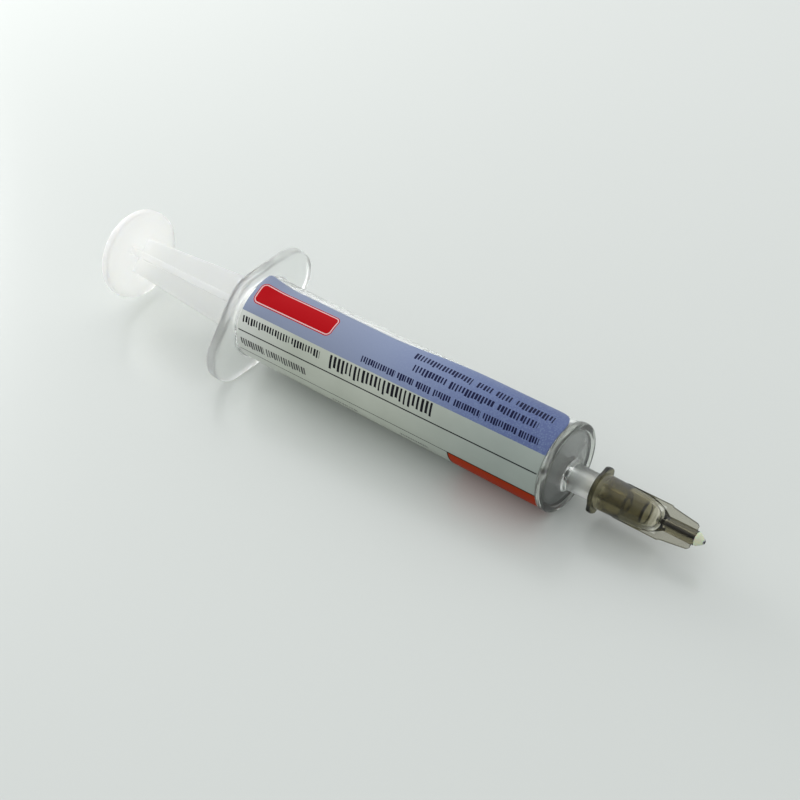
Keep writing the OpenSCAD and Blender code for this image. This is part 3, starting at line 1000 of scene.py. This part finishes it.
# ((start, end) of each stretch of bars, angle at the middle of the row, height, pitch of the
# bars, ink share, colour)
BLACK = (0.012, 0.012, 0.016, 1)
NAVY = (0.012, 0.015, 0.055, 1)
DARK_GREY = (0.07, 0.07, 0.07, 1)
ROWS = [
    ([(-61.4, -51.0), (-50.5, -44.4)], 115.0, 1.3, 0.6, 0.42, BLACK),
    ([(-61.2, -56.0), (-55.4, -46.5)], 147.2, 1.55, 0.56, 0.4, DARK_GREY),
    ([(-42.2, -21.2)], 116.6, 2.25, 0.85, 0.36, BLACK),
    ([(-36.9, -30.1), (-29.6, -26.5), (-25.9, -23.1), (-22.5, -19.2), (-18.5, -13.6),
      (-13.0, -6.9), (-6.4, -2.9)], 95.8, 1.15, 0.48, 0.48, NAVY),
    ([(-29.4, -18.4), (-17.3, -14.4), (-13.7, -11.0), (-10.0, -3.2)], 59.0, 1.6, 0.6, 0.44, NAVY),
    ([(-28.0, -21.7), (-20.9, -12.5), (-11.8, -4.5)], 77.6, 1.42, 0.6, 0.44, NAVY),
    ([(-41.5, -36.0), (-27.1, -21.5)], 176.5, 0.5, 0.5, 0.4, DARK_GREY),
]
# start, end, angle at the front face and height of each ruled line
RULES = [(-61.9, -1.05, 130.7, 0.2), (-61.9, -17.3, 162.2, 0.14)]
LILAC_REAR = (0.26, 0.3, 0.41, 1)
LILAC_FRONT = (0.235, 0.295, 0.47, 1)
LILAC_DOT = (0.12, 0.14, 0.33, 1)
FILM_WHITE = (0.535, 0.57, 0.495, 1)
FILM_SHADE = (0.455, 0.485, 0.415, 1)
# painted light: the film's paler tone at the rear
FILM_REAR_PAINTED_LIGHT = (0.66, 0.68, 0.64, 1)
ORANGE = (0.48, 0.034, 0.0, 1)
ORANGE_EDGE = (0.05, 0.02, 0.01, 1)
RED = (0.44, 0.002, 0.006, 1)
BADGE_LINE = (0.72, 0.5, 0.5, 1)
# painted shade: the film's darker tone towards the front
FRONT_PAINTED_SHADE = (0.66, 0.7, 0.74, 1)


def make_label_material():
    """The printed film: fields of colour, a plain badge, lines and rows of bars."""
    material, tree, shader = new_material(
        "printed film", Metallic=0.0, IOR=1.48, Specular_IOR_Level=0.05)
    box, grain = box_group(), grain_group()
    bars = bars_group(box)
    uv = tree.nodes.new("ShaderNodeUVMap")
    uv.uv_map = "print"
    parts = tree.nodes.new("ShaderNodeSeparateXYZ")
    feed(tree, parts.inputs[0], uv.outputs[0])
    x = math_node(tree, "MULTIPLY_ADD", parts.outputs[0], 80.0, -70.0)
    angle = math_node(tree, "MULTIPLY", parts.outputs[1], 360.0)
    # the angle that a row would have at the front face, so that rows are level in it
    level = math_node(tree, "MULTIPLY_ADD", x, -PRINT_CLIMB, angle)
    around = math_node(tree, "MULTIPLY", level, ARC)
    ink = use_group(tree, grain, Along=x, Around=around, Dots=3.2)

    def placed(group, start, end, middle, height, **more):
        return use_group(tree, group, Along=x, Around=around, Start=start, End=end,
                         Middle=middle * ARC, Height=height, **more)

    film = mix_colour(tree, ink["Cloud"], FILM_WHITE, FILM_SHADE)
    # painted light: the film is paler towards the rear
    film = mix_colour(tree, map_range(tree, x, -50.0, -62.0), film, FILM_REAR_PAINTED_LIGHT)
    lilac = mix_colour(tree, map_range(tree, x, -45.0, -15.0), LILAC_REAR, LILAC_FRONT)
    speck = math_node(tree, "MULTIPLY", ink["Dots"], map_range(tree, x, -34.0, -4.0, 0.05, 0.6))
    lilac = mix_colour(tree, speck, lilac, LILAC_DOT)
    edge = math_node(tree, "MULTIPLY_ADD", ink["Tooth"], 1.2, level)
    limit = map_range(tree, x, -60.0, -25.0, 104.2, 107.0)
    blue = math_node(tree, "LESS_THAN", edge, limit)
    colour = mix_colour(tree, blue, film, lilac)
    field = placed(box, -17.35, 10.0, 213.0, 12.9, Corner=0.1)
    colour = mix_colour(tree, field["Fill"], colour, ORANGE)
    badge = placed(box, -61.5, -44.5, 73.0, 4.15, Corner=1.1, Slant=-0.08)
    colour = mix_colour(tree, badge["Fill"], colour, RED)
    rim = math_node(tree, "COMPARE", badge["Distance"], -0.27, 0.1)
    colour = mix_colour(tree, rim, colour, BADGE_LINE)
    border = math_node(tree, "COMPARE", field["Distance"], 0.0, 0.13)
    colour = mix_colour(tree, border, colour, ORANGE_EDGE)
    for start, end, middle, height in RULES:
        line = placed(box, start, end, middle, height, Corner=0.02)
        colour = mix_colour(tree, line["Fill"], colour, BLACK)
    for stretches, middle, height, pitch, share, shade in ROWS:
        for start, end in stretches:
            row = placed(bars, start, end, middle, height, Pitch=pitch, Ink=share, Slant=BAR_SLANT)
            colour = mix_colour(tree, row["Fill"], colour, shade)
    # painted shade: the film is darkened towards the front
    behind = map_range(tree, x, -36.0, -6.0, 0.0, 1.0, True)
    colour = mix_colour(tree, behind, colour, FRONT_PAINTED_SHADE, "MULTIPLY")
    feed(tree, shader.inputs["Base Color"], colour)
    feed(tree, shader.inputs["Roughness"], map_range(tree, ink["Tooth"], 0.2, 0.8, 0.34, 0.48))
    bumped(tree, shader, ink["Tooth"], 0.12, 0.00004)
    return material


# Floor, lights and camera


def make_floor():
    bm = bmesh.new()
    bmesh.ops.create_grid(bm, x_segments=8, y_segments=8, size=2.5)
    floor = loose("studio_floor", bm)
    material, tree, shader = new_material("pale glossy floor", Metallic=0.0, IOR=1.6, Roughness=0.25)
    cloud = noise(tree, object_place(tree), 3.0, 2.0)
    colour = mix_colour(tree, cloud, (0.59, 0.615, 0.59, 1), (0.63, 0.655, 0.63, 1))
    feed(tree, shader.inputs["Base Color"], colour)
    floor.data.materials.append(material)


def make_lights():
    world = bpy.data.worlds.new("pale room")
    bpy.context.scene.world = world
    world.use_nodes = True
    tree = world.node_tree
    tree.nodes["Background"].inputs["Color"].default_value = (0.95, 0.97, 0.98, 1)
    path = tree.nodes.new("ShaderNodeLightPath")
    seen = math_node(tree, "MAXIMUM", path.outputs["Is Camera Ray"], path.outputs["Is Glossy Ray"])
    seen = math_node(tree, "MAXIMUM", seen, path.outputs["Is Transmission Ray"])
    # glass and gloss show a bright window side and a darker room side
    parts = tree.nodes.new("ShaderNodeSeparateXYZ")
    feed(tree, parts.inputs[0], tree.nodes.new("ShaderNodeTexCoord").outputs["Generated"])
    towards = math_node(tree, "SUBTRACT", math_node(tree, "MULTIPLY", parts.outputs[1], 0.7),
                        math_node(tree, "MULTIPLY", parts.outputs[0], 0.7))
    room = map_range(tree, towards, -0.8, 0.5, 0.22, 1.0, True)
    room = math_node(tree, "MAXIMUM", room, map_range(tree, parts.outputs[2], 0.55, 0.9, 0.2, 0.9))
    feed(tree, tree.nodes["Background"].inputs["Strength"], map_range(tree, seen, 0, 1, 0.84, room))

    def soft_box(name, at, aim, size, watts):
        lamp = bpy.data.lights.new(name, "AREA")
        lamp.shape = "DISK"
        lamp.size = size
        lamp.energy = watts
        obj = bpy.data.objects.new(name, lamp)
        obj.location = at
        obj.rotation_euler = (Vector(aim) - Vector(at)).to_track_quat("-Z", "Y").to_euler()
        bpy.context.scene.collection.objects.link(obj)

    soft_box("window behind", (-0.3, 0.45, 0.6), (0, 0, 0), 1.1, 1.35)
    soft_box("window left", (-0.42, 0.07, 0.13), (-0.09, 0, 0.01), 0.2, 1.0)


CAMERA_AT = (0.12654, -0.14224, 0.15917)
CAMERA_AIM = (0.00485, -0.00206, 0.00704)
CAMERA_ROLL = radians(-2.933)
CAMERA_FOCAL = 1486.6
FRAME_PIXELS = 800


def make_camera():
    """The camera at the photograph's angle; the focal length is in pixels of its frame."""
    at, aim = Vector(CAMERA_AT), Vector(CAMERA_AIM)
    back = (at - aim).normalized()
    level = Vector((0, 0, 1)).cross(back).normalized()
    up = back.cross(level)
    right = level * cos(CAMERA_ROLL) + up * sin(CAMERA_ROLL)
    up = back.cross(right)
    camera = bpy.data.cameras.new("camera")
    camera.sensor_width = 36
    camera.lens = CAMERA_FOCAL * camera.sensor_width / FRAME_PIXELS
    camera.clip_start = 0.01
    camera.clip_end = 20
    obj = bpy.data.objects.new("camera", camera)
    obj.matrix_world = Matrix.Translation(at) @ Matrix((right, up, back)).transposed().to_4x4()
    bpy.context.scene.collection.objects.link(obj)
    bpy.context.scene.camera = obj


def main():
    bpy.context.scene.view_settings.view_transform = "Standard"
    make_camera()
    make_lights()
    make_floor()
    moulded = moulded_group()
    copies = copies_tree()
    make_barrel(clear_plastic(moulded))
    make_label(make_label_material())
    make_rod(milky_plastic(moulded), copies)
    make_seal(rubber(moulded))
    make_paste(grey_paste())
    make_hub(smoke_plastic(moulded), copies)
    make_needle(needle_steel())
    make_glue(pale_glue(moulded))


main()
